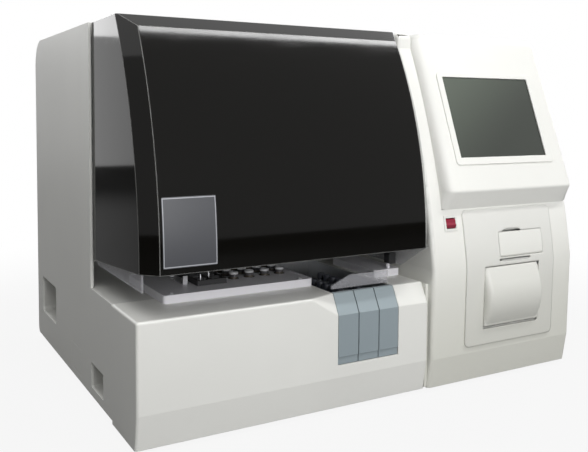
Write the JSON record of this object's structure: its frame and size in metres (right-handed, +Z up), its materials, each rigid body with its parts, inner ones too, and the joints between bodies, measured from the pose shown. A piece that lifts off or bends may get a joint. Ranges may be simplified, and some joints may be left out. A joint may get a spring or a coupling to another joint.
{
  "type": "coagulation analyzer",
  "caption": "Bench-top coagulation analyzer with a lifting smoked hood, sliding sample racks, probe gantry, leaning touch screen and a printer with door and flap.",
  "frame": {"origin": "on the table under the middle of the analyzer's bounding box", "axes": "+X to the right along the front, +Y from the front to the back, +Z up"},
  "size_m": [1, 0.794, 0.727],
  "materials": {
    "housing_moulding": "fine satin texture",
    "painted_panel": "fine powder coat",
    "deck_paint": "smooth paint",
    "dark_plastic": "matt",
    "steel_sheet": "plain sheet",
    "smoked_pane": "polished, smoked",
    "clear_plastic": "polished, clear",
    "rack_grey": "satin",
    "tube_clear": "clear",
    "tray_plastic": "satin",
    "vial_plastic": "satin",
    "cap_plastic": "satin",
    "machined_aluminium": "machined",
    "hinge_steel": "dark plated",
    "screen_glass": "satin glass over a dark display",
    "roll_paper": "matt",
    "roller_rubber": "matt",
    "switch_red": "gloss",
    "board_green": "lacquered"
  },
  "bodies": {
    "housing": {"base_pan": "steel_sheet", "chamber_walls": "deck_paint", "connector_cup": "dark_plastic", "control_board": "board_green", "cooling_block": "machined_aluminium", "cuvette_holder": "tray_plastic", "cuvettes": "clear_plastic", "deck_plate": "deck_paint", "fan_frames": "dark_plastic", "fan_guards": "hinge_steel", "front_fascia": "housing_moulding", "gantry_beam": "machined_aluminium", "gantry_brackets": "machined_aluminium", "grip_cups": "dark_plastic", "hinge_brackets": "hinge_steel", "left_side_panel": "painted_panel", "monitor_housing": "housing_moulding", "optical_block": "dark_plastic", "port_cover_plate": "painted_panel", "power_inlet": "dark_plastic", "power_supply": "steel_sheet", "printer_chassis": "steel_sheet", "printer_panel": "housing_moulding", "rack_guard": "clear_plastic", "rack_lane_tray": "steel_sheet", "reagent_tray": "tray_plastic", "rear_panel": "painted_panel", "right_side_panel": "painted_panel", "right_tray": "tray_plastic", "rubber_feet": "roller_rubber", "screen_frame": "housing_moulding", "switch_bezel": "dark_plastic", "syringe_pump": "machined_aluminium", "top_cover": "painted_panel", "touch_screen": "screen_glass", "tower_fascia": "housing_moulding", "tower_stand": "steel_sheet", "vial_bodies": "vial_plastic", "vial_caps": "cap_plastic"},
    "hood": {"hood_shell": "smoked_pane", "hood_skirts": "clear_plastic", "hood_bumper": "dark_plastic", "hood_hinge_ears": "hinge_steel"},
    "sample_rack_1": {"rack_1": "rack_grey", "rack_1_tubes": "tube_clear"},
    "sample_rack_2": {"rack_2": "rack_grey", "rack_2_tubes": "tube_clear"},
    "sample_rack_3": {"rack_3": "rack_grey", "rack_3_tubes": "tube_clear"},
    "door": {"printer_door": "housing_moulding"},
    "platen": {"platen_roller": "roller_rubber"},
    "flap": {"printer_flap": "housing_moulding"},
    "roll": {"paper_roll": "roll_paper"},
    "rocker": {"power_rocker": "switch_red"},
    "carriage": {"x_carriage": "machined_aluminium", "y_arm": "machined_aluminium"},
    "head": {"y_head": "machined_aluminium"},
    "probe": {"z_probe": "machined_aluminium"},
    "rotor_1": {"fan_rotor_1": "dark_plastic"},
    "rotor_2": {"fan_rotor_2": "dark_plastic"}
  },
  "joints": [
    {"name": "hood_hinge", "type": "hinge", "parent": "housing", "child": "hood", "pos_m": [-0.19925, -0.105, 0.716], "axis": [-1, 0, 0], "range_deg": [0, 65]},
    {"name": "rack_1_slide", "type": "slide", "parent": "housing", "child": "sample_rack_1", "axis": [0, -1, 0], "range_m": [0, 0.25]},
    {"name": "rack_2_slide", "type": "slide", "parent": "housing", "child": "sample_rack_2", "axis": [0, -1, 0], "range_m": [0, 0.25]},
    {"name": "rack_3_slide", "type": "slide", "parent": "housing", "child": "sample_rack_3", "axis": [0, -1, 0], "range_m": [0, 0.25]},
    {"name": "door_hinge", "type": "hinge", "parent": "housing", "child": "door", "pos_m": [0.317, -0.3715, 0.126], "axis": [1, 0, 0], "range_deg": [0, 80]},
    {"name": "platen_spin", "type": "hinge", "parent": "door", "child": "platen", "pos_m": [0.317, -0.365, 0.23], "axis": [1, 0, 0], "continuous": true},
    {"name": "flap_hinge", "type": "hinge", "parent": "housing", "child": "flap", "pos_m": [0.3455, -0.37321, 0.2644], "axis": [1, 0, 0], "range_deg": [0, 70]},
    {"name": "roll_spin", "type": "hinge", "parent": "housing", "child": "roll", "pos_m": [0.3245, -0.343, 0.174], "axis": [1, 0, 0], "continuous": true},
    {"name": "rocker_tilt", "type": "hinge", "parent": "housing", "child": "rocker", "pos_m": [0.159, -0.355, 0.33665], "axis": [1, 0, 0], "range_deg": [0, 14]},
    {"name": "carriage_slide", "type": "slide", "parent": "housing", "child": "carriage", "axis": [1, 0, 0], "range_m": [-0.225, 0.27]},
    {"name": "head_slide", "type": "slide", "parent": "carriage", "child": "head", "axis": [0, -1, 0], "range_m": [0, 0.295]},
    {"name": "probe_lift", "type": "slide", "parent": "head", "child": "probe", "axis": [0, 0, -1], "range_m": [0, 0.17]},
    {"name": "fan_1_spin", "type": "hinge", "parent": "housing", "child": "rotor_1", "pos_m": [0.22, 0.379, 0.568], "axis": [0, 1, 0], "continuous": true},
    {"name": "fan_2_spin", "type": "hinge", "parent": "housing", "child": "rotor_2", "pos_m": [0.37, 0.379, 0.568], "axis": [0, 1, 0], "continuous": true}
  ]
}
